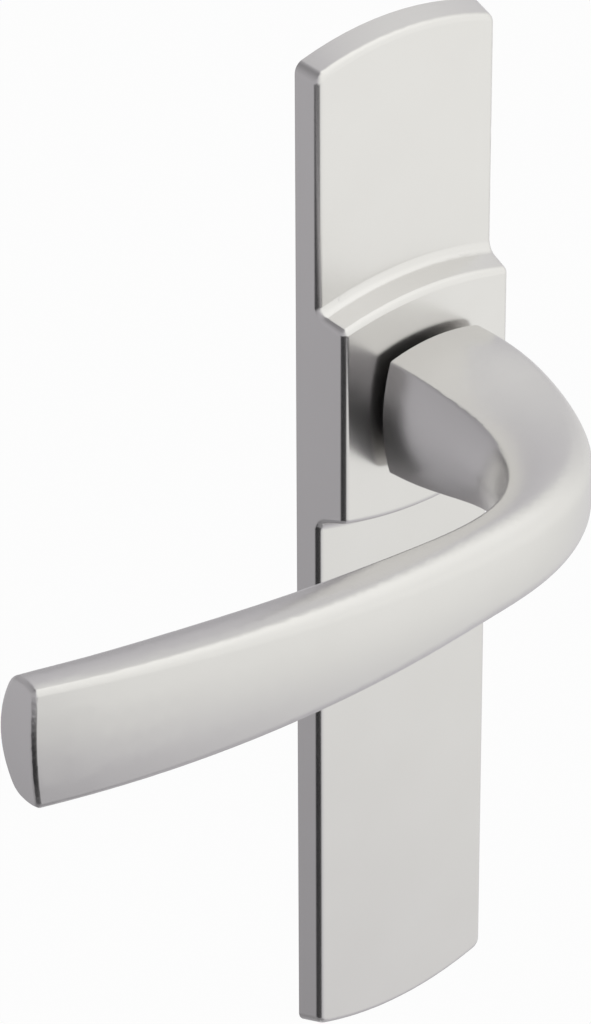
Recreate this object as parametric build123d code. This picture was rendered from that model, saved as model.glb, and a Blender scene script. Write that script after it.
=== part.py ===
from build123d import *
from math import asin, cos, degrees, pi, radians, sin, sqrt, tan
import os

# Lever door handle on a long backplate with concealed fixings.
# The origin lies on the spindle axis in the door's face: +X right and +Z up as one faces the plate,
# +Y into the door. Pieces are drawn in face coordinates, (right, up, out of the door), and are
# turned into that frame when they are written. All sizes are millimetres and degrees.

# Cover plate
plate_length = 220.0
plate_width = 46.4
plate_centre_drop = 34.0
plate_thickness = 5.4
raised_thickness = 11.55
side_draft = 10.5
end_draft = 15.5
end_arc_radius = 74.4
plan_corner_radius = 2.5
edge_round = 1.5
raised_half_height = 23.1
step_arc_radius = 85.0
step_run = 2.0
step_cove = 2.2
step_round = 1.6
cover_wall = 2.2
raised_wall = 1.8
cavity_corner_radius = 1.0

# Support plate, its screws and the fixing posts
support_thickness = 2.0
support_clearance = 0.3
fixing_end_distance = 12.5
post_radius = 4.0
post_bore_radius = 2.5
post_length = 11.0
post_bore_depth = 10.0
post_flange_radius = 6.0
post_flange_thickness = 1.0
post_fit = 0.02
screw_radius = 1.5
screw_head_radius = 2.8
screw_length = 7.5
screw_fit = 0.05
screw_drive_radius = 0.9
screw_drive_depth = 0.8
boss_radius = 3.0
boss_wall_gap = 0.2
support_pad_radius = 3.0
support_pad_setback = 20.0
support_pad_spread = 26.0

# Lever
neck_gap = 1.85
neck_inner_offset = 11.1
neck_outer_offset = 12.7
inner_bend_start = 34.4
inner_bend_radius = 30.2
inner_bend_turn = 87.2
inner_grip_radius = 364.0
outer_bend_start = 23.8
bend_thickness = 7.1
outer_turn_lag = 7.2
outer_grip_radius = 233.4
lever_length = 137.2
tip_heading = 5.5
tip_overrun = 4.0
tip_bow_radius = 70.0
tip_round = 1.2
neck_height = 24.0
waist_height = 16.3
tip_height = 22.8
waist_turn = 30.5
neck_corner_round = 3.0
waist_corner_round = 5.3
tip_corner_round = 1.5
neck_inner_crown = 1.9
tip_inner_crown = 2.8
outer_crown = 0.7
neck_flank_crown = 1.7
waist_flank_crown = 0.6
tip_flank_crown = 0.9
neck_inner_round = 0.8
tip_inner_round = 4.0
bend_sections = 4
grip_sections = 6
journal_radius = 8.0
journal_end = 3.1
journal_flat = 6.5

# Socket for the square spindle, and its grub screw
spindle_side = 7.0
spindle_clearance = 0.05
socket_depth_in_neck = 14.6
grub_screw_radius = 3.0
grub_screw_out = 20.0
grub_screw_recess = 1.0
grub_screw_fit = 0.05
grub_socket_radius = 1.7
grub_socket_depth = 3.0

# Neck bush and return spring cassette
running_fit = 0.05
bush_wall = 2.4
bush_flange_radius = 12.5
bush_flange_thickness = 0.9
bush_proud = 1.35
bush_fit = 0.05
housing_radius = 14.8
housing_wall = 1.2
housing_floor = 1.0
housing_bore_clearance = 0.4
ear_radius = 2.4
ear_spread = 32.7
ear_depth = 2.5
lid_thickness = 1.0
lid_bore_radius = 6.2
lid_screw_radius = 1.0
lid_screw_head_radius = 1.9
lid_screw_length = 3.2
lid_screw_drive_depth = 0.4
washer_thickness = 0.5
washer_radius = 10.8
axial_play = 0.05
driver_thickness = 1.6
driver_radius = 11.1
lug_half_angle = 14.0
lug_angle = 70.0
lug_wall_gap = 0.4
lever_travel = 40.0
stop_pin_radius = 0.9
stop_pin_wall_gap = 0.4
stop_gap = 0.1
pin_fit = 0.02
peg_radius = 0.55
peg_orbit = 10.4
peg_angle = 250.0
peg_lid_gap = 0.2
ring_thickness = 0.95
ring_radius = 9.6
ring_groove_radius = 7.2
ring_mouth_angle = 50.0
spring_strip = 0.6
spring_width = 2.25
spring_inner_radius = 11.6
spring_pitch = 0.95
spring_turns = 1.5
spring_hook_reach = 1.6
spring_tab_reach = 1.5
spring_gap = 0.15

door_face = Plane(origin=(0, 0, 0), x_dir=(1, 0, 0), z_dir=(0, -1, 0))

# Levels, measured out of the door
low_ceiling = plate_thickness - cover_wall
raised_ceiling = raised_thickness - raised_wall
bush_seat = raised_ceiling - bush_flange_thickness
floor_inside = bush_seat - housing_floor
lid_seat = support_thickness + lid_thickness
washer_out = floor_inside - axial_play
driver_out = washer_out - washer_thickness - axial_play
driver_in = driver_out - driver_thickness
ring_out = driver_in - axial_play
neck_base = raised_thickness + neck_gap
socket_half = spindle_side / 2 + spindle_clearance
raised_half_width = plate_width / 2 - raised_thickness * tan(radians(side_draft))
step_sag = step_arc_radius - sqrt(step_arc_radius ** 2 - raised_half_width ** 2)
cavity_half_width = raised_half_width - cover_wall
cavity_half_height = raised_half_height - step_sag - cover_wall


def rod(radius, low, high, right=0.0, up=0.0):
    """A round bar along the spindle's direction, between two levels."""
    return Pos(right, up, low) * extrude(Circle(radius), high - low)


def countersunk(radius, head_radius, length, low, right, up, grow=0.0):
    """A countersunk screw, or with a growth its hole, whose head lies flush at the low level."""
    standing = (Align.CENTER, Align.CENTER, Align.MIN)
    head = Cone(head_radius + grow, radius + grow, head_radius - radius, align=standing)
    return Pos(right, up, low) * head + rod(radius + grow, low, low + length, right, up)


def polar(radius, angle):
    return (radius * cos(radians(angle)), radius * sin(radians(angle)))


def plate_outline(out, inset, corner_radius):
    """The plate's arched outline at one level, drawn in by the drafts and by an inset."""
    half = plate_width / 2 - out * tan(radians(side_draft)) - inset
    drawn_in = out * tan(radians(end_draft)) + inset
    apex = plate_length / 2 - drawn_in
    radius = end_arc_radius - drawn_in
    shoulder = apex - radius + sqrt(radius ** 2 - half ** 2)
    outline = [
        Line((half, -shoulder), (half, shoulder)),
        ThreePointArc((half, shoulder), (0, apex), (-half, shoulder)),
        Line((-half, shoulder), (-half, -shoulder)),
        ThreePointArc((-half, -shoulder), (0, -apex), (half, -shoulder)),
    ]
    face = make_face(outline)
    return Pos(0, -plate_centre_drop, out) * fillet(face.vertices(), corner_radius)


def step_cutter():
    """What is taken off above the raised middle: an arched step with a cove at its foot."""
    centre = raised_half_height - step_arc_radius
    rise = raised_thickness - plate_thickness
    top = raised_thickness + rise
    far = step_arc_radius + plate_length
    foot = (step_arc_radius + step_run, plate_thickness)
    head = (step_arc_radius - step_run, top)
    profile = make_face(Polyline(head, foot, (far, plate_thickness), (far, top), close=True))
    foot_corner = profile.vertices().sort_by_distance((*foot, 0))[0]
    profile = fillet(foot_corner, step_cove)
    side = asin(plate_width / step_arc_radius)
    plane = Plane(origin=(0, centre, 0), x_dir=(sin(side), cos(side), 0), z_dir=(cos(side), -sin(side), 0))
    return revolve(plane * profile, Axis((0, centre, 0), (0, 0, 1)), degrees(2 * side))


def screw_places():
    """The four support plate screws, in the corners of the raised middle."""
    reach = boss_radius + boss_wall_gap
    right = cavity_half_width - reach
    up = cavity_half_height - reach
    return [(right, up), (-right, up), (-right, -up), (right, -up)]


def post_heights():
    reach = plate_length / 2 - fixing_end_distance
    return [-plate_centre_drop + reach, -plate_centre_drop - reach]


def pad_places():
    """Pads under the cover's thin ends, which the support plate rests on."""
    upper, lower = post_heights()
    side = support_pad_spread / 2
    levels = (upper - support_pad_setback, lower + support_pad_setback)
    return [(right, up) for up in levels for right in (-side, side)]


def cover_plate():
    levels = (0, raised_thickness)
    body = loft([plate_outline(out, 0, plan_corner_radius) for out in levels], ruled=True)
    cutter = step_cutter()
    body = body - cutter - mirror(cutter, about=Plane.XZ)
    ridges = body.edges().filter_by(GeomType.CIRCLE)
    body = fillet(ridges.filter_by_position(Axis.Z, raised_thickness, raised_thickness), step_round)
    flanks = [face for face in body.faces() if abs(face.normal_at().Z) < sin(radians(2 * end_draft))]
    flanks = [face for face in flanks if face.normal_at().Z > 0]
    flank_edges = [edge for face in flanks for edge in face.edges()]
    rim = [edge for edge in flank_edges if sum(edge.is_same(other) for other in flank_edges) == 1]
    rim = [edge for edge in rim if edge.center().Z > edge_round]
    body = fillet(rim, edge_round)
    levels = (0, low_ceiling)
    hollow = loft([plate_outline(out, cover_wall, cavity_corner_radius) for out in levels], ruled=True)
    well = RectangleRounded(2 * cavity_half_width, 2 * cavity_half_height, cavity_corner_radius)
    body = body - hollow - extrude(well, raised_ceiling)
    for right, up in screw_places():
        body += rod(boss_radius, support_thickness, raised_ceiling, right, up)
        body -= rod(screw_radius + screw_fit, support_thickness, screw_length + screw_fit, right, up)
    for right, up in pad_places():
        body += rod(support_pad_radius, support_thickness, low_ceiling, right, up)
    return body - rod(journal_radius + running_fit + bush_wall + bush_fit, raised_ceiling, raised_thickness)


def support_plate():
    inset = cover_wall + support_clearance
    outline = plate_outline(support_thickness, inset, cavity_corner_radius)
    plate = Pos(0, 0, -support_thickness) * extrude(outline, support_thickness)
    plate -= rod(lid_bore_radius, 0, support_thickness)
    for up in post_heights():
        plate -= rod(post_radius + post_fit, 0, support_thickness, 0, up)
    for right, up in screw_places():
        plate -= countersunk(screw_radius, screw_head_radius, screw_length, 0, right, up, screw_fit)
    return plate


def fixing_post(up):
    """A threaded post, flanged behind the cover and set through the support plate."""
    flange = rod(post_flange_radius, support_thickness, support_thickness + post_flange_thickness, 0, up)
    barrel = rod(post_radius, -post_length, support_thickness, 0, up)
    return flange + barrel - rod(post_bore_radius, -post_length, post_bore_depth - post_length, 0, up)


def support_plate_screw(right, up):
    screw = countersunk(screw_radius, screw_head_radius, screw_length, 0, right, up)
    return screw - rod(screw_drive_radius, 0, screw_drive_depth, right, up)


def circle_reach(start, angle, centre, radius):
    """How far a ray in plan runs from a point inside a circle to the circle."""
    ahead = (cos(radians(angle)), sin(radians(angle)))
    offset = (start[0] - centre[0], start[1] - centre[1])
    along = offset[0] * ahead[0] + offset[1] * ahead[1]
    return sqrt(along ** 2 - offset[0] ** 2 - offset[1] ** 2 + radius ** 2) - along


def grip_centre(bend_centre, bend_radius, turn, grip_radius):
    """The grip arc's centre in plan, for a grip that runs on smoothly from the bend."""
    away = grip_radius - bend_radius
    return (bend_centre[0] - away * cos(radians(turn)), bend_centre[1] - away * sin(radians(turn)))


outer_bend_radius = inner_bend_start + inner_bend_radius + bend_thickness - outer_bend_start
outer_bend_turn = inner_bend_turn - outer_turn_lag
inner_bend_centre = (-neck_inner_offset - inner_bend_radius, inner_bend_start)
outer_bend_centre = (neck_outer_offset - outer_bend_radius, outer_bend_start)
inner_grip_centre = grip_centre(inner_bend_centre, inner_bend_radius, inner_bend_turn, inner_grip_radius)
outer_grip_centre = grip_centre(outer_bend_centre, outer_bend_radius, outer_bend_turn, outer_grip_radius)
neck_run = inner_bend_start - neck_base
bend_run = radians(inner_bend_turn) * inner_bend_radius
grip_end = asin((lever_length + tip_overrun + inner_grip_centre[0]) / inner_grip_radius)
grip_turn = degrees(grip_end + pi / 2) - inner_bend_turn
grip_run = radians(grip_turn) * inner_grip_radius
waist_run = neck_run + radians(waist_turn) * inner_bend_radius
lever_run = neck_run + bend_run + grip_run


def outer_reach(start, angle):
    """The lever's width in plan, from its inner edge to the chain of arcs on its outer side."""
    reach = circle_reach(start, angle, outer_grip_centre, outer_grip_radius)
    past_centre = start[0] + reach * cos(radians(angle)) - outer_grip_centre[0]
    if past_centre > outer_grip_radius * cos(radians(outer_bend_turn)):
        reach = circle_reach(start, angle, outer_bend_centre, outer_bend_radius)
    return reach


def through_waist(run, neck_value, waist_value, tip_value):
    """A size that eases from the neck to the waist and on to the tip."""
    if run < waist_run:
        share = run / waist_run
        return neck_value + (waist_value - neck_value) * (1 - cos(pi * share)) / 2
    share = (run - waist_run) / (lever_run - waist_run)
    return waist_value + (tip_value - waist_value) * (1 - cos(pi * share)) / 2


def lever_section(run, start, angle, width):
    """One section across the lever: crowned sides, soft outer corners and crisp inner ones.

    Its outline starts at the middle of the inner side, as every other section's does.
    """
    half = through_waist(run, neck_height, waist_height, tip_height) / 2
    outer_round = through_waist(run, neck_corner_round, waist_corner_round, tip_corner_round)
    flank_crown = through_waist(run, neck_flank_crown, waist_flank_crown, tip_flank_crown)
    inner_crown = neck_inner_crown + (tip_inner_crown - neck_inner_crown) * run / lever_run
    inner_round = neck_inner_round + (tip_inner_round - neck_inner_round) * run / lever_run
    ahead = (cos(radians(angle)), 0, sin(radians(angle)))
    inner_side = ThreePointArc((0, half), (-inner_crown, 0), (0, -half))
    face = make_face([
        inner_side.trim(0.5, 1),
        ThreePointArc((0, -half), (width / 2, -half - flank_crown), (width, -half)),
        ThreePointArc((width, -half), (width + outer_crown, 0), (width, half)),
        ThreePointArc((width, half), (width / 2, half + flank_crown), (0, half)),
        inner_side.trim(0, 0.5),
    ])
    face = fillet(face.vertices().sort_by(Axis.X)[3:], outer_round)
    face = fillet(face.vertices().sort_by(Axis.X)[1:3], inner_round)
    edges = face.wire().order_edges()
    seam = min(range(len(edges)), key=lambda index: (edges[index] @ 0).X)
    plane = Plane(origin=(start[0], 0, start[1]), x_dir=ahead, z_dir=(-ahead[2], 0, ahead[0]))
    return plane * Wire(edges[seam:] + edges[:seam])


def lever_sections():
    """Sections up the neck, round the bend and along the grip."""
    sections = []
    neck_width = neck_inner_offset + neck_outer_offset
    for out in (neck_base, (neck_base + outer_bend_start) / 2, outer_bend_start):
        sections.append(lever_section(out - neck_base, (-neck_inner_offset, out), 0, neck_width))
    for step in range(bend_sections + 1):
        angle = inner_bend_turn * step / bend_sections
        right, out = polar(inner_bend_radius, angle)
        start = (inner_bend_centre[0] + right, inner_bend_centre[1] + out)
        run = neck_run + radians(angle) * inner_bend_radius
        sections.append(lever_section(run, start, angle, outer_reach(start, angle)))
    for step in range(1, grip_sections + 1):
        angle = inner_bend_turn + grip_turn * step / grip_sections
        right, out = polar(inner_grip_radius, angle)
        start = (inner_grip_centre[0] + right, inner_grip_centre[1] + out)
        run = neck_run + bend_run + grip_run * step / grip_sections
        sections.append(lever_section(run, start, angle, outer_reach(start, angle)))
    return sections


def flatted_rod(radius, flat, low, high):
    """A round bar with two flats, which turns the driver plate."""
    return rod(radius, low, high) & Pos(0, 0, (low + high) / 2) * Box(2 * flat, 3 * radius, high - low)


def tip_cutter():
    """What is taken off beyond the grip's end, which is bowed in height and square to the grip in plan."""
    tip_side = lever_length + inner_grip_centre[0]
    tip_out = inner_grip_centre[1] + sqrt(inner_grip_radius ** 2 - tip_side ** 2)
    heading = radians(tip_heading)
    beyond = (-cos(heading), 0, -sin(heading))
    plane = Plane(origin=(-lever_length, 0, tip_out), x_dir=beyond, z_dir=(-beyond[2], 0, beyond[0]))
    sag = tip_bow_radius - sqrt(tip_bow_radius ** 2 - tip_height ** 2)
    high, low = (-sag, tip_height), (-sag, -tip_height)
    reach = 2 * tip_overrun
    bow = ThreePointArc(high, (0, 0), low)
    profile = make_face([bow, Polyline(low, (reach, -tip_height), (reach, tip_height), high)])
    return extrude(plane * profile, lever_length / 2, both=True)


def lever():
    body = Solid.make_loft(lever_sections()) - tip_cutter()
    cap = body.faces().sort_by(Axis.X)[0]
    body = fillet(cap.edges(), tip_round)
    body += rod(journal_radius, driver_out, neck_base)
    body += flatted_rod(journal_radius, journal_flat, journal_end, driver_out)
    groove_in = ring_out - ring_thickness - axial_play
    body -= rod(journal_radius, groove_in, ring_out) - rod(ring_groove_radius, groove_in, ring_out)
    socket_end = neck_base + socket_depth_in_neck
    socket = extrude(Rectangle(2 * socket_half, 2 * socket_half), socket_end - journal_end)
    body -= Pos(0, 0, journal_end) * socket
    grub_hole = extrude(Circle(grub_screw_radius + grub_screw_fit), neck_height)
    return body - Pos(0, 0, grub_screw_out) * Rot(90, 0, 0) * grub_hole


def grub_screw():
    length = neck_height / 2 - grub_screw_recess - socket_half
    body = extrude(Circle(grub_screw_radius), length)
    hexagon = RegularPolygon(grub_socket_radius, 6)
    socket = Pos(0, 0, length - grub_socket_depth) * extrude(hexagon, grub_socket_depth)
    return Pos(0, -socket_half, grub_screw_out) * Rot(90, 0, 0) * (body - socket)


def neck_bush():
    collar_radius = journal_radius + running_fit + bush_wall
    collar = rod(collar_radius, bush_seat, raised_thickness + bush_proud)
    flange = rod(bush_flange_radius, bush_seat, raised_ceiling)
    return collar + flange - rod(journal_radius + running_fit, bush_seat, raised_thickness + bush_proud)


def ear_places():
    return [(-ear_spread / 2, 0), (ear_spread / 2, 0)]


def cassette_outline(low, high, ear_high):
    """The cassette's round body with its two screw ears."""
    body = rod(housing_radius, low, high)
    for right, up in ear_places():
        bridge = extrude(Rectangle(abs(right), 2 * ear_radius), ear_high - low)
        body += rod(ear_radius, low, ear_high, right, up) + Pos(right / 2, up, low) * bridge
    return body


stop_orbit = housing_radius - housing_wall - stop_pin_wall_gap - stop_pin_radius
stop_angle = degrees(asin((stop_pin_radius + stop_gap) / stop_orbit))
rest_pin_angle = lug_angle - lug_half_angle - stop_angle
travel_pin_angle = lug_angle + lug_half_angle + lever_travel + stop_angle
hook_angle = peg_angle + degrees(asin((peg_radius + spring_gap + spring_strip / 2) / peg_orbit))
tab_angle = hook_angle + 360 * spring_turns


def spring_housing():
    body = cassette_outline(lid_seat, bush_seat, lid_seat + ear_depth)
    body -= rod(housing_radius - housing_wall, lid_seat, floor_inside)
    body -= rod(journal_radius + housing_bore_clearance, floor_inside, bush_seat)
    for right, up in ear_places():
        body -= rod(lid_screw_radius + screw_fit, lid_seat, lid_seat + ear_depth, right, up)
    for angle in (rest_pin_angle, travel_pin_angle):
        body -= rod(stop_pin_radius + pin_fit, floor_inside, bush_seat, *polar(stop_orbit, angle))
    slot_width = spring_strip + 2 * spring_gap
    slot_depth = spring_width + 2 * spring_gap
    slot = Box(2 * housing_wall, slot_width, slot_depth)
    slot = Pos(housing_radius - housing_wall / 2, 0, lid_seat + slot_depth / 2) * slot
    return body - Rot(0, 0, tab_angle) * slot


def lid_screw_blank(right, up, grow=0.0):
    radii = (lid_screw_radius, lid_screw_head_radius)
    return countersunk(*radii, lid_screw_length, support_thickness, right, up, grow)


def spring_housing_lid():
    lid = cassette_outline(support_thickness, lid_seat, lid_seat)
    for right, up in ear_places():
        lid -= lid_screw_blank(right, up, screw_fit)
    return lid - rod(lid_bore_radius, support_thickness, lid_seat)


def lid_screw(right, up):
    drive_end = support_thickness + lid_screw_drive_depth
    return lid_screw_blank(right, up) - rod(screw_drive_radius, support_thickness, drive_end, right, up)


def stop_pin(angle):
    return rod(stop_pin_radius, driver_in, bush_seat, *polar(stop_orbit, angle))


def thrust_washer():
    low = washer_out - washer_thickness
    return rod(washer_radius, low, washer_out) - rod(journal_radius + running_fit, low, washer_out)


def driver_plate():
    """Turns with the lever: a lug that meets the stops and a peg that winds the spring."""
    lug_radius = housing_radius - housing_wall - lug_wall_gap
    first, last = polar(lug_radius, -lug_half_angle), polar(lug_radius, lug_half_angle)
    lug = make_face([Line((0, 0), first), ThreePointArc(first, (lug_radius, 0), last), Line(last, (0, 0))])
    plate = rod(driver_radius, driver_in, driver_out)
    plate += Pos(0, 0, driver_in) * Rot(0, 0, lug_angle) * extrude(lug, driver_thickness)
    plate += rod(peg_radius, lid_seat + peg_lid_gap, driver_in, *polar(peg_orbit, peg_angle))
    bore = (journal_radius + running_fit, journal_flat + running_fit)
    return plate - flatted_rod(*bore, driver_in, driver_out)


def retaining_ring():
    low = ring_out - ring_thickness
    ring = rod(ring_radius, low, ring_out) - rod(ring_groove_radius + running_fit, low, ring_out)
    sides = [polar(2 * ring_radius, angle) for angle in (-ring_mouth_angle / 2, ring_mouth_angle / 2)]
    mouth = make_face(Polyline((0, 0), *sides, close=True))
    return ring - Pos(0, 0, low) * Rot(0, 0, -90) * extrude(mouth, ring_thickness)


def return_spring():
    """A flat spiral spring: a hook inside, against the driver's peg, and a tab in the housing's slot."""
    points_per_turn = 24
    count = int(points_per_turn * spring_turns)

    def strip_edge(offset):
        places = []
        for index in range(count + 1):
            share = index / count
            radius = spring_inner_radius + spring_pitch * spring_turns * share + offset
            places.append(polar(radius, hook_angle + 360 * spring_turns * share))
        return places

    inside, outside = strip_edge(-spring_strip / 2), strip_edge(spring_strip / 2)
    ends = [Line(outside[0], inside[0]), Line(inside[-1], outside[-1])]
    strip = make_face([Spline(*inside), Spline(*outside), *ends])
    hook_middle = spring_inner_radius - spring_hook_reach / 2
    tab_middle = spring_inner_radius + spring_pitch * spring_turns + spring_tab_reach / 2
    hook = Rot(0, 0, hook_angle) * Pos(hook_middle, 0) * Rectangle(spring_hook_reach, spring_strip)
    tab = Rot(0, 0, tab_angle) * Pos(tab_middle, 0) * Rectangle(spring_tab_reach, spring_strip)
    return Pos(0, 0, lid_seat + spring_gap) * extrude(strip + hook + tab, spring_width)


def write(node, *solids):
    turned = [door_face.location * solid for solid in solids]
    export_step(turned[0] if len(turned) == 1 else Compound(children=turned), f"parts/{node}.step")


os.makedirs("parts", exist_ok=True)
upper_post, lower_post = post_heights()
write("cover_plate", cover_plate())
write("support_plate", support_plate())
write("upper_fixing_post", fixing_post(upper_post))
write("lower_fixing_post", fixing_post(lower_post))
write("support_plate_screws", *[support_plate_screw(right, up) for right, up in screw_places()])
write("neck_bush", neck_bush())
write("spring_housing", spring_housing())
write("spring_housing_lid", spring_housing_lid())
write("lid_screws", *[lid_screw(right, up) for right, up in ear_places()])
write("rest_stop_pin", stop_pin(rest_pin_angle))
write("travel_stop_pin", stop_pin(travel_pin_angle))
write("return_spring", return_spring())
write("lever", lever())
write("grub_screw", grub_screw())
write("thrust_washer", thrust_washer())
write("driver_plate", driver_plate())
write("retaining_ring", retaining_ring())
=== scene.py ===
from collections import Counter
from math import cos, pi, radians, sin, tan

import bmesh
import bpy
from mathutils import Matrix, Vector


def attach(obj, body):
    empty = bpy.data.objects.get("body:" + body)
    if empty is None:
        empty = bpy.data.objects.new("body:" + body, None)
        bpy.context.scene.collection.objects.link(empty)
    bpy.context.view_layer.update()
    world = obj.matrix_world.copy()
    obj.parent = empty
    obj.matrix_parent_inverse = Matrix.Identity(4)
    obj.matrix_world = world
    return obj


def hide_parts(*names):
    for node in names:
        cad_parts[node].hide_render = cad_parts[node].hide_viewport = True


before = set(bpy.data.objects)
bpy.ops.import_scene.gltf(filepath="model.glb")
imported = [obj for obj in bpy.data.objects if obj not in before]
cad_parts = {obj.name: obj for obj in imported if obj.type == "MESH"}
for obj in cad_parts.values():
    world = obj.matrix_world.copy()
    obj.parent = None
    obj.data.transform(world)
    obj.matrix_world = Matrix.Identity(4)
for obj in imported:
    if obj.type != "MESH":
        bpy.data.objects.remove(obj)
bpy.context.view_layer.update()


# Support plate, with its two threaded posts and its four cross-recess screws.
# A stamped sheet of bright zinc plated steel; the posts are turned from bar and riveted into it,
# and the countersunk screws pull it into the hollow back of the cover.

def new_material(name):
    """An empty node material: the material, a function that adds a node, its links and its shader."""
    material = bpy.data.materials.new(name)
    material.use_nodes = True
    tree = material.node_tree
    shader = tree.nodes["Principled BSDF"]

    def add(kind, **settings):
        node = tree.nodes.new(kind)
        for key, value in settings.items():
            if hasattr(node, key):
                setattr(node, key, value)
            else:
                node.inputs[key.replace("_", " ").title()].default_value = value
        return node

    return material, add, tree.links.new, shader


def zinc_plated_steel(name, grain):
    """Bright zinc over steel: a cool grey with faint passivation tints and the grain of the stock."""
    material, add, link, shader = new_material(name)
    shader.inputs["Metallic"].default_value = 1.0
    place = add("ShaderNodeTexCoord")
    stretch = add("ShaderNodeMapping")
    stretch.inputs["Scale"].default_value = grain
    link(place.outputs["Object"], stretch.inputs["Vector"])
    cloud = add("ShaderNodeTexNoise", scale=70.0, detail=4.0)
    link(place.outputs["Object"], cloud.inputs["Vector"])
    tint = add("ShaderNodeValToRGB")
    tint.color_ramp.elements[0].position = 0.3
    tint.color_ramp.elements[0].color = (0.56, 0.59, 0.62, 1)
    tint.color_ramp.elements[1].position = 0.7
    tint.color_ramp.elements[1].color = (0.66, 0.66, 0.63, 1)
    link(cloud.outputs["Fac"], tint.inputs["Fac"])
    link(tint.outputs["Color"], shader.inputs["Base Color"])
    streak = add("ShaderNodeTexNoise", scale=1.0, detail=6.0)
    link(stretch.outputs["Vector"], streak.inputs["Vector"])
    rough = add("ShaderNodeMapRange")
    rough.inputs["To Min"].default_value = 0.26
    rough.inputs["To Max"].default_value = 0.44
    link(streak.outputs["Fac"], rough.inputs["Value"])
    link(rough.outputs["Result"], shader.inputs["Roughness"])
    bump = add("ShaderNodeBump", strength=0.12, distance=0.00004)
    link(streak.outputs["Fac"], bump.inputs["Height"])
    link(bump.outputs["Normal"], shader.inputs["Normal"])
    return material


def finish_node(node, material):
    """Gives a carried-over solid its finish, on every slot."""
    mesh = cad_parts[node].data
    mesh.materials.clear()
    mesh.materials.append(material)


finish_node("support_plate", zinc_plated_steel("zinc_rolled_sheet", (900.0, 900.0, 60.0)))
turned_zinc = zinc_plated_steel("zinc_turned", (300.0, 4000.0, 300.0))
for node in ("upper_fixing_post", "lower_fixing_post"):
    finish_node(node, turned_zinc)

screw_sizes = {"Head Radius": 0.0028, "Head Depth": 0.0013, "Shank Radius": 0.0015, "Length": 0.0075,
               "Recess Length": 0.0030, "Recess Width": 0.0008, "Recess Depth": 0.0008,
               "Spread": 0.03132, "Rise": 0.0301}
screw_tree = bpy.data.node_groups.new("support_plate_screws", "GeometryNodeTree")
for size in screw_sizes:
    screw_tree.interface.new_socket(size, in_out="INPUT", socket_type="NodeSocketFloat")
screw_tree.interface.new_socket("Finish", in_out="INPUT", socket_type="NodeSocketMaterial")
screw_tree.interface.new_socket("Screws", in_out="OUTPUT", socket_type="NodeSocketGeometry")
screw_input = screw_tree.nodes.new("NodeGroupInput").outputs


def screw_node(kind, **sockets):
    """Adds a node to the screws' tree and sets or links its inputs by name; returns its first output."""
    node = screw_tree.nodes.new(kind)
    for key, value in sockets.items():
        if hasattr(node, key):
            setattr(node, key, value)
            continue
        socket = next(each for each in node.inputs if each.enabled and each.name == key.replace("_", " "))
        if isinstance(value, bpy.types.NodeSocket):
            screw_tree.links.new(value, socket)
        else:
            socket.default_value = value
    return next(each for each in node.outputs if each.enabled)


def worked(operation, first, second):
    """The result of one sum between two of the tree's lengths."""
    node = screw_tree.nodes.new("ShaderNodeMath")
    node.operation = operation
    for socket, value in zip(node.inputs, (first, second)):
        if isinstance(value, bpy.types.NodeSocket):
            screw_tree.links.new(value, socket)
        else:
            socket.default_value = value
    return node.outputs[0]


def along_axis(shape, height):
    """Moves a shape along the screw's own axis."""
    move = screw_node("ShaderNodeCombineXYZ", Z=height)
    return screw_node("GeometryNodeTransform", Geometry=shape, Translation=move)


head_facets = 40
shank_facets = 32
cone = screw_node("GeometryNodeMeshCone", Vertices=head_facets, Radius_Top=screw_input["Head Radius"],
                  Radius_Bottom=screw_input["Shank Radius"], Depth=screw_input["Head Depth"])
cone = along_axis(cone, worked("MULTIPLY", screw_input["Head Depth"], -1.0))
shank_length = worked("SUBTRACT", screw_input["Length"], worked("MULTIPLY", screw_input["Head Depth"], 0.5))
shank = screw_node("GeometryNodeMeshCylinder", Vertices=shank_facets, Radius=screw_input["Shank Radius"],
                   Depth=shank_length)
shank = along_axis(shank, worked("SUBTRACT", worked("MULTIPLY", shank_length, 0.5), screw_input["Length"]))
twice_deep = worked("MULTIPLY", screw_input["Recess Depth"], 2.0)
slot_size = screw_node("ShaderNodeCombineXYZ", X=screw_input["Recess Length"], Y=screw_input["Recess Width"],
                       Z=twice_deep)
slot = screw_node("GeometryNodeMeshCube", Size=slot_size)
cross = screw_node("GeometryNodeTransform", Geometry=slot, Rotation=(0.0, 0.0, pi / 2))
whole = screw_tree.nodes.new("GeometryNodeMeshBoolean")
whole.operation = "UNION"
bored = screw_tree.nodes.new("GeometryNodeMeshBoolean")
bored.operation = "DIFFERENCE"
for solid in (cone, shank):
    screw_tree.links.new(solid, whole.inputs["Mesh 2"])
screw_tree.links.new(whole.outputs["Mesh"], bored.inputs["Mesh 1"])
for cut in (slot, cross):
    screw_tree.links.new(cut, bored.inputs["Mesh 2"])
places = screw_node("GeometryNodeMeshGrid", Size_X=screw_input["Spread"], Size_Y=screw_input["Rise"],
                    Vertices_X=2, Vertices_Y=2)
driven = screw_node("FunctionNodeRandomValue", data_type="FLOAT", Min=0.0, Max=pi / 2, Seed=4)
screws = screw_node("GeometryNodeInstanceOnPoints", Points=places, Instance=bored.outputs["Mesh"],
                    Rotation=screw_node("ShaderNodeCombineXYZ", Z=driven))
screws = screw_node("GeometryNodeTransform", Geometry=screws, Rotation=(-pi / 2, 0.0, 0.0))
screws = screw_node("GeometryNodeRealizeInstances", Geometry=screws)
screws = screw_node("GeometryNodeSetMaterial", Geometry=screws, Material=screw_input["Finish"])
screw_tree.links.new(screws, screw_tree.nodes.new("NodeGroupOutput").inputs[0])
screw_set = bpy.data.objects.new("support_plate_screw_set", bpy.data.meshes.new("screw_start"))
bpy.context.scene.collection.objects.link(screw_set)
maker = screw_set.modifiers.new("screws", "NODES")
maker.node_group = screw_tree
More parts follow.
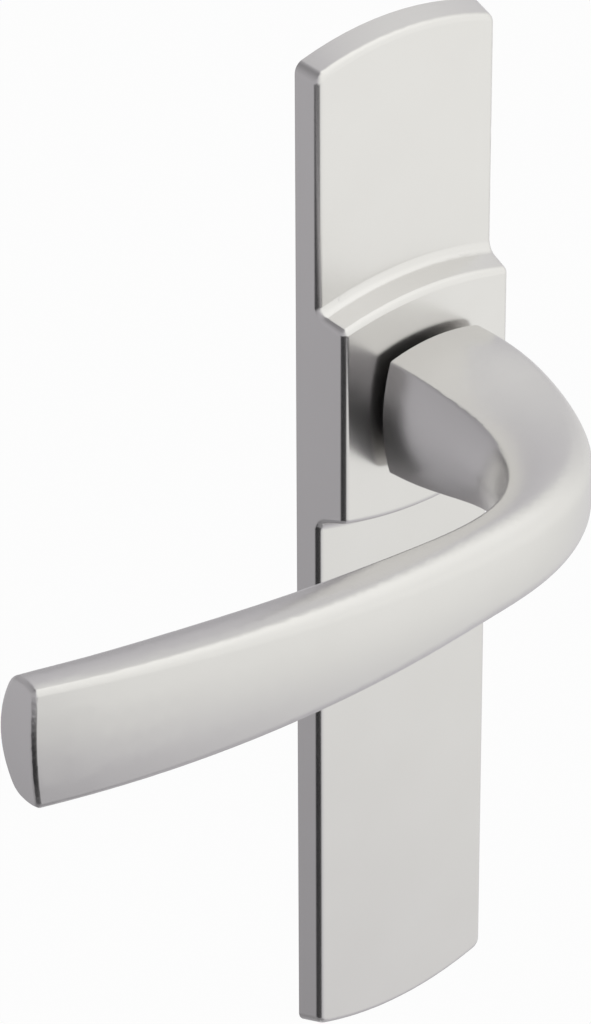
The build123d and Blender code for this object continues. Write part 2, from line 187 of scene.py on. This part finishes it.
for item in screw_tree.interface.items_tree:
    if item.in_out == "INPUT":
        maker[item.identifier] = screw_sizes.get(item.name, turned_zinc)
built = screw_set.evaluated_get(bpy.context.evaluated_depsgraph_get())
screw_mesh = bpy.data.meshes.new_from_object(built)
screw_set.modifiers.clear()
screw_set.data = screw_mesh
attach(screw_set, "backplate")
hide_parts("support_plate_screws")


# Spring cassette: housing, lid and its screws, stop pins, spiral spring, driver plate, washer and ring.
# The housing and washer are moulded, the lid is stamped, the driver, ring and spring are hardened steel.
# The cassette sits in the hollow of the raised middle, clamped between the cover and the support plate.

def moulded_plastic(name, colour, roughness):
    """Dark moulded plastic with the fine spark texture of its mould."""
    material, add, link, shader = new_material(name)
    place = add("ShaderNodeTexCoord")
    spark = add("ShaderNodeTexNoise", scale=3200.0, detail=3.0)
    link(place.outputs["Object"], spark.inputs["Vector"])
    shade = add("ShaderNodeValToRGB")
    shade.color_ramp.elements[0].color = (*[0.8 * value for value in colour], 1)
    shade.color_ramp.elements[1].color = (*[1.2 * value for value in colour], 1)
    link(spark.outputs["Fac"], shade.inputs["Fac"])
    link(shade.outputs["Color"], shader.inputs["Base Color"])
    shader.inputs["Roughness"].default_value = roughness
    bump = add("ShaderNodeBump", strength=0.25, distance=0.00003)
    link(spark.outputs["Fac"], bump.inputs["Height"])
    link(bump.outputs["Normal"], shader.inputs["Normal"])
    return material


def dark_steel(name, low, high):
    """Hardened and oiled steel: blue-grey to brown-grey temper colours, fairly smooth."""
    material, add, link, shader = new_material(name)
    shader.inputs["Metallic"].default_value = 1.0
    place = add("ShaderNodeTexCoord")
    temper = add("ShaderNodeTexNoise", scale=160.0, detail=3.0)
    link(place.outputs["Object"], temper.inputs["Vector"])
    tint = add("ShaderNodeValToRGB")
    tint.color_ramp.elements[0].position = 0.35
    tint.color_ramp.elements[0].color = (*low, 1)
    tint.color_ramp.elements[1].position = 0.65
    tint.color_ramp.elements[1].color = (*high, 1)
    link(temper.outputs["Fac"], tint.inputs["Fac"])
    link(tint.outputs["Color"], shader.inputs["Base Color"])
    rough = add("ShaderNodeMapRange")
    rough.inputs["To Min"].default_value = 0.28
    rough.inputs["To Max"].default_value = 0.42
    link(temper.outputs["Fac"], rough.inputs["Value"])
    link(rough.outputs["Result"], shader.inputs["Roughness"])
    return material


cassette_nylon = moulded_plastic("cassette_nylon", (0.035, 0.036, 0.038), 0.55)
bearing_acetal = moulded_plastic("bearing_acetal", (0.014, 0.014, 0.014), 0.42)
hardened_steel = dark_steel("hardened_steel", (0.17, 0.17, 0.18), (0.24, 0.23, 0.22))
spring_steel = dark_steel("spring_steel", (0.20, 0.22, 0.27), (0.32, 0.30, 0.27))
finish_node("spring_housing", cassette_nylon)
finish_node("spring_housing_lid", zinc_plated_steel("zinc_stamped_lid", (700.0, 700.0, 700.0)))
finish_node("lid_screws", turned_zinc)
for node in ("rest_stop_pin", "travel_stop_pin", "driver_plate"):
    finish_node(node, hardened_steel)
for node in ("return_spring", "retaining_ring"):
    finish_node(node, spring_steel)
for node in ("thrust_washer", "neck_bush"):
    finish_node(node, bearing_acetal)


# Cover plate: one aluminium die casting with a raised middle, its back hollowed out.
# Its face is ground, blasted to a satin and clear anodised, which leaves a fine even grain.
# The four screws through the support plate hold it, so its face shows none.

def satin_aluminium(name, dark, light):
    """Blasted and anodised aluminium: a warm light grey with a fine grain and a soft sheen."""
    material, add, link, shader = new_material(name)
    shader.inputs["Metallic"].default_value = 1.0
    place = add("ShaderNodeTexCoord")
    grain = add("ShaderNodeTexNoise", scale=5200.0, detail=2.0)
    cloud = add("ShaderNodeTexNoise", scale=55.0, detail=3.0)
    for node in (grain, cloud):
        link(place.outputs["Object"], node.inputs["Vector"])
    tint = add("ShaderNodeValToRGB")
    tint.color_ramp.elements[0].position = 0.3
    tint.color_ramp.elements[0].color = (*dark, 1)
    tint.color_ramp.elements[1].position = 0.7
    tint.color_ramp.elements[1].color = (*light, 1)
    link(cloud.outputs["Fac"], tint.inputs["Fac"])
    link(tint.outputs["Color"], shader.inputs["Base Color"])
    rough = add("ShaderNodeMapRange")
    rough.inputs["To Min"].default_value = 0.24
    rough.inputs["To Max"].default_value = 0.28
    link(cloud.outputs["Fac"], rough.inputs["Value"])
    link(rough.outputs["Result"], shader.inputs["Roughness"])
    bump = add("ShaderNodeBump", strength=0.04, distance=0.00002)
    link(grain.outputs["Fac"], bump.inputs["Height"])
    link(bump.outputs["Normal"], shader.inputs["Normal"])
    return material


def even_skin(node, body, material, edges=(), edge_round=0.0):
    """Shows a solid by a merged copy of its mesh, which shades evenly on its narrow roundings.

    Its normals lie true on the flats and turn evenly over the roundings. The edges are the axes of the long
    roundings that run straight up the solid: an axis's place in X and Y, and how near to and how far from
    the solid's middle it runs.
    """
    wide_flat = 1e-4
    hold_of_flat = 100.0
    sliver_height = 2e-5
    merge_reach = 1e-6
    axis_slack = 1e-7
    crease = cos(radians(32))
    form = bmesh.new()
    form.from_mesh(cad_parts[node].data)
    bmesh.ops.remove_doubles(form, verts=form.verts, dist=merge_reach)
    form.normal_update()
    spread = Counter()
    for face in form.faces:
        spread[face.normal.to_tuple(3)] += face.calc_area()
    weight = {}
    for face in form.faces:
        face.smooth = True
        area = face.calc_area()
        weight[face] = area
        if spread[face.normal.to_tuple(3)] > wide_flat:
            weight[face] = area * hold_of_flat
        elif 2 * area / max(edge.calc_length() for edge in face.edges) < sliver_height:
            weight[face] = 0.0
    rounded = {}
    for point in form.verts:
        for axis_x, axis_y, nearest, furthest in edges:
            arm = Vector((point.co.x - axis_x, point.co.y - axis_y, 0.0))
            outward = arm.y < 0 and arm.x * axis_x > -axis_slack
            beside = nearest < abs(point.co.z) < furthest
            if outward and beside and abs(arm.length - edge_round) < sliver_height:
                rounded[point] = arm.normalized()
    leans = []
    for face in form.faces:
        for corner in face.loops:
            lean = Vector()
            for near in corner.vert.link_loops:
                if weight[face] == 0 or face.normal.dot(near.face.normal) > crease:
                    lean += near.face.normal * near.calc_angle() * weight[near.face]
            leans.append(rounded.get(corner.vert, lean.normalized()))
    mesh = bpy.data.meshes.new(f"{node}_skin")
    form.to_mesh(mesh)
    form.free()
    mesh.normals_split_custom_set(leans)
    mesh.materials.append(material)
    skin = bpy.data.objects.new(f"{node}_skin", mesh)
    bpy.context.scene.collection.objects.link(skin)
    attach(skin, body)
    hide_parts(node)


cover_half_width = 0.0232
cover_draft = radians(10.5)
cover_edge_round = 0.0015
cover_thickness = 0.0054
raised_thickness = 0.01155
raised_reach = 0.0235
cover_reach = 0.15
cover_edges = []
for thickness, nearest, furthest in ((cover_thickness, raised_reach, cover_reach),
                                     (raised_thickness, 0.0, raised_reach)):
    level = cover_edge_round - thickness
    inset = cover_half_width + level * tan(cover_draft) - cover_edge_round / cos(cover_draft)
    cover_edges += [(-inset, level, nearest, furthest), (inset, level, nearest, furthest)]
cover_aluminium = satin_aluminium("cover_satin_aluminium", (0.712, 0.702, 0.691), (0.728, 0.719, 0.709))
even_skin("cover_plate", "backplate", cover_aluminium, cover_edges, cover_edge_round)


# Lever: a forged aluminium neck, bend and grip in one piece, finished as the cover is.
# Its journal turns in the bush, and a grub screw from below locks it on a square spindle.
# The lever's copy of the finish is a shade darker than the cover's.

lever_aluminium = satin_aluminium("lever_satin_aluminium", (0.690, 0.680, 0.669), (0.704, 0.695, 0.685))
even_skin("lever", "lever", lever_aluminium)
finish_node("grub_screw", hardened_steel)


# The studio: a pale floor, a white surround, one softbox and a paper tent round the handle.
# The tent shows only in reflections and gives the metal its tones: white to the right and in front,
# cool grey to the left and behind, and one black flag to the left in front.

def stage_mesh(name, corners, faces, material):
    """One piece of the studio, built from its corners and faces with one material."""
    mesh = bpy.data.meshes.new(name)
    mesh.from_pydata(corners, [], faces)
    mesh.materials.append(material)
    obj = bpy.data.objects.new(name, mesh)
    bpy.context.scene.collection.objects.link(obj)
    return obj


def seen_directly(tree):
    """A socket that is 1 for camera, glossy and transmission rays, and 0 for light on diffuse surfaces."""
    path = tree.nodes.new("ShaderNodeLightPath")
    seen = path.outputs["Is Camera Ray"]
    for ray in ("Is Glossy Ray", "Is Transmission Ray"):
        either = tree.nodes.new("ShaderNodeMath")
        either.operation = "MAXIMUM"
        tree.links.new(seen, either.inputs[0])
        tree.links.new(path.outputs[ray], either.inputs[1])
        seen = either.outputs[0]
    return seen


floor_level = -1.30
floor_reach = 12.0
paper_white_share = 0.93
floor_paper, add, link, shader = new_material("floor_paper")
shader.inputs["Base Color"].default_value = (0.9, 0.9, 0.9, 1)
shader.inputs["Roughness"].default_value = 0.9
white = add("ShaderNodeEmission")
white.inputs["Color"].default_value = (1, 1, 1, 1)
white.inputs["Strength"].default_value = 1.0
share = add("ShaderNodeMath", operation="MULTIPLY")
share.inputs[1].default_value = paper_white_share
link(seen_directly(floor_paper.node_tree), share.inputs[0])
blend = add("ShaderNodeMixShader")
link(share.outputs[0], blend.inputs[0])
link(shader.outputs[0], blend.inputs[1])
link(white.outputs[0], blend.inputs[2])
link(blend.outputs[0], floor_paper.node_tree.nodes["Material Output"].inputs["Surface"])
floor_corners = [(across * floor_reach, along * floor_reach, floor_level)
                 for across, along in ((-1, -1), (1, -1), (1, 1), (-1, 1))]
stage_mesh("floor", floor_corners, [(0, 1, 2, 3)], floor_paper)

tent_radius = 1.25
tent_step = 3.0
tent_start = 15
tent_top = 85
tent_paper, add, link, _ = new_material("tent_paper")
painted = add("ShaderNodeAttribute", attribute_name="tone")
glow = add("ShaderNodeEmission")
link(painted.outputs["Fac"], glow.inputs["Strength"])
paper_hue = add("ShaderNodeValToRGB")
paper_hue.color_ramp.elements[0].position = 0.65
paper_hue.color_ramp.elements[0].color = (0.98, 0.96, 1.0, 1)
paper_hue.color_ramp.elements[1].position = 0.95
paper_hue.color_ramp.elements[1].color = (1.0, 1.0, 0.975, 1)
link(painted.outputs["Fac"], paper_hue.inputs["Fac"])
link(paper_hue.outputs["Color"], glow.inputs["Color"])
link(glow.outputs[0], tent_paper.node_tree.nodes["Material Output"].inputs["Surface"])

# The paper's tones on each side of the tent, as pairs of an angle of height and a brightness.
front = ((-60, 0.30), (-45, 0.50), (-35, 0.72), (-25, 0.96), (-15, 1.05), (0, 1.08), (20, 1.10), (45, 1.16))
left_front = ((-46, 0.30), (-13, 0.55), (30, 0.50), (60, 0.30))
left = ((-50, 0.27), (-40, 0.35), (-30, 0.45), (-15, 0.52), (0, 0.52), (30, 0.42), (60, 0.25))
behind = ((-50, 0.45), (-40, 0.56), (-20, 0.64), (0, 0.50), (8, 0.40), (20, 0.42), (32, 0.55))
right = ((-60, 0.60), (-50, 0.77), (-40, 0.86), (-20, 1.00), (0, 1.06), (20, 1.08), (45, 1.20), (60, 1.25))
right_front = ((-60, 0.56), (-50, 0.74), (-40, 0.835), (-34, 0.945), (-27, 1.05), (-20, 1.09), (0, 1.12),
               (20, 1.10), (45, 1.20), (60, 1.25))
tent_sides = ((tent_start, front), (50, left_front), (100, left), (200, behind), (285, right),
              (318, right_front), (356, front), (tent_start + 360, front))
# The black flag's soft edges, each as the angle where it starts and the angle where it is full.
flag_tone = 0.004
flag_right = (6, 18)
flag_left = (101, 92)
flag_bottom = (-48, -43)
flag_top = (-13, -19)


def tone_at(tones, height):
    """The tone at an angle of height, from pairs of an angle and a tone in rising order."""
    if height <= tones[0][0]:
        return tones[0][1]
    for (low, low_tone), (high, high_tone) in zip(tones, tones[1:]):
        if height < high:
            return low_tone + (high_tone - low_tone) * (height - low) / (high - low)
    return tones[-1][1]


def eased(value, none, full):
    """0 on one side of a soft edge and 1 on its other side."""
    share = min(max((value - none) / (full - none), 0.0), 1.0)
    return share * share * (3 - 2 * share)


def flag_share(bearing, height):
    """How much of the black flag lies at a bearing and an angle of height."""
    turn = (bearing + 180) % 360 - 180
    across = eased(turn, *flag_right) * eased(turn, *flag_left)
    return across * eased(height, *flag_bottom) * eased(height, *flag_top)


def tent_tone(bearing, height):
    """How bright the tent is at a bearing, 0 in front, 90 left and 180 behind, and at an angle of height."""
    for (before, first), (after, last) in zip(tent_sides, tent_sides[1:]):
        if bearing <= after:
            break
    share = (bearing - before) / (after - before)
    paper = tone_at(first, height) * (1 - share) + tone_at(last, height) * share
    flag = flag_share(bearing, height)
    return paper * (1 - flag) + flag_tone * flag


columns = round(360 / tent_step)
rows = round(2 * tent_top / tent_step)
corners = []
paint = []
for row in range(rows + 1):
    height = -tent_top + 2 * tent_top * row / rows
    for column in range(columns + 1):
        bearing = tent_start + 360 * column / columns
        outward = Matrix.Rotation(-radians(bearing), 3, "Z") @ Vector((0, -cos(radians(height)), 0))
        outward.z = sin(radians(height))
        corners.append(tent_radius * outward)
        paint.append(tent_tone(bearing, height))
faces = []
for row in range(rows):
    for column in range(columns):
        corner = row * (columns + 1) + column
        faces.append((corner, corner + 1, corner + columns + 2, corner + columns + 1))
tent = stage_mesh("tent_dome", corners, faces, tent_paper)
tent.data.attributes.new("tone", "FLOAT", "POINT").data.foreach_set("value", paint)
tent.visible_camera = False
tent.visible_diffuse = False
tent.visible_shadow = False

key_radiance = 1.0
key_side = 0.5
key_place = Vector((0.85, -0.85, 0.05))
key = bpy.data.lights.new("key_softbox", "AREA")
key.shape = "SQUARE"
key.size = key_side
key.energy = key_radiance * pi * key_side ** 2
key_lamp = bpy.data.objects.new("key_softbox", key)
bpy.context.scene.collection.objects.link(key_lamp)
key_lamp.visible_glossy = False
key_lamp.location = key_place
key_lamp.rotation_euler = (-key_place).to_track_quat("-Z", "Y").to_euler()

surround_light = 0.75
surround_seen = 0.98
world = bpy.data.worlds.new("white_surround")
bpy.context.scene.world = world
world.use_nodes = True
surround = world.node_tree.nodes["Background"]
surround.inputs["Color"].default_value = (1, 1, 1, 1)
surround_level = world.node_tree.nodes.new("ShaderNodeMapRange")
surround_level.inputs["To Min"].default_value = surround_light
surround_level.inputs["To Max"].default_value = surround_seen
world.node_tree.links.new(seen_directly(world.node_tree), surround_level.inputs["Value"])
world.node_tree.links.new(surround_level.outputs["Result"], surround.inputs["Strength"])


# The camera, at the photograph's viewing angle: a long lens in front of the handle, from its upper left.
# Its roll is the photograph's own slight tilt.

camera_place = Vector((-0.5730, -0.6364, 0.4434))
camera_aim = Vector((-0.0235, 0.0, -0.0215))
camera_roll = radians(-0.274)
camera_data = bpy.data.cameras.new("camera")
camera_data.sensor_fit = "VERTICAL"
camera_data.sensor_height = 36.0
camera_data.lens = 175.08
camera = bpy.data.objects.new("camera", camera_data)
bpy.context.scene.collection.objects.link(camera)
towards = (camera_aim - camera_place).to_track_quat("-Z", "Y").to_matrix()
camera_turn = towards @ Matrix.Rotation(camera_roll, 3, "Z")
camera.matrix_world = Matrix.Translation(camera_place) @ camera_turn.to_4x4()
bpy.context.scene.camera = camera
bpy.context.scene.view_settings.view_transform = "Standard"
